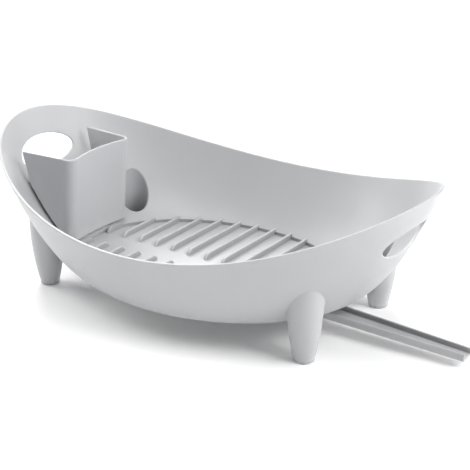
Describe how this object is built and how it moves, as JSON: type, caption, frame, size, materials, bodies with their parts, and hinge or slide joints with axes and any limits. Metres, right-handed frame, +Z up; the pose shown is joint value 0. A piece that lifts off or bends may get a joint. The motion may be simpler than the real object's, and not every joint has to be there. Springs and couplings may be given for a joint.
{
  "type": "dish drying rack",
  "caption": "Oval plastic dish drying rack on four legs, with a ribbed floor, hand holes, a lift-out cutlery holder and a sliding drain spout.",
  "frame": {"origin": "on the ground, under the middle of the whole rack's bounding box with the spout drawn out", "axes": "+X along the bowl's long axis towards the drain spout, +Y towards the back, +Z up"},
  "size_m": [0.5252, 0.3066, 0.1555],
  "materials": {
    "bowl_plastic": "satin",
    "holder_plastic": "satin",
    "spout_plastic": "satin",
    "guide_plastic": "satin",
    "foot_rubber": "matte",
    "screw_steel": "brushed"
  },
  "bodies": {
    "rack": {"basin": "bowl_plastic", "spout_guide": "guide_plastic", "guide_screws": "screw_steel", "foot_pad_front_left": "foot_rubber", "foot_pad_front_right": "foot_rubber", "foot_pad_back_left": "foot_rubber", "foot_pad_back_right": "foot_rubber"},
    "spout": {"drain_spout": "spout_plastic"},
    "holder": {"cutlery_holder": "holder_plastic"}
  },
  "joints": [
    {"name": "spout_slide", "type": "slide", "parent": "rack", "child": "spout", "axis": [0.9992, 0, -0.0401], "range_m": [-0.075, 0]},
    {"name": "holder_lift", "type": "slide", "parent": "rack", "child": "holder", "axis": [0, 0, 1], "range_m": [0, 0.13]}
  ]
}
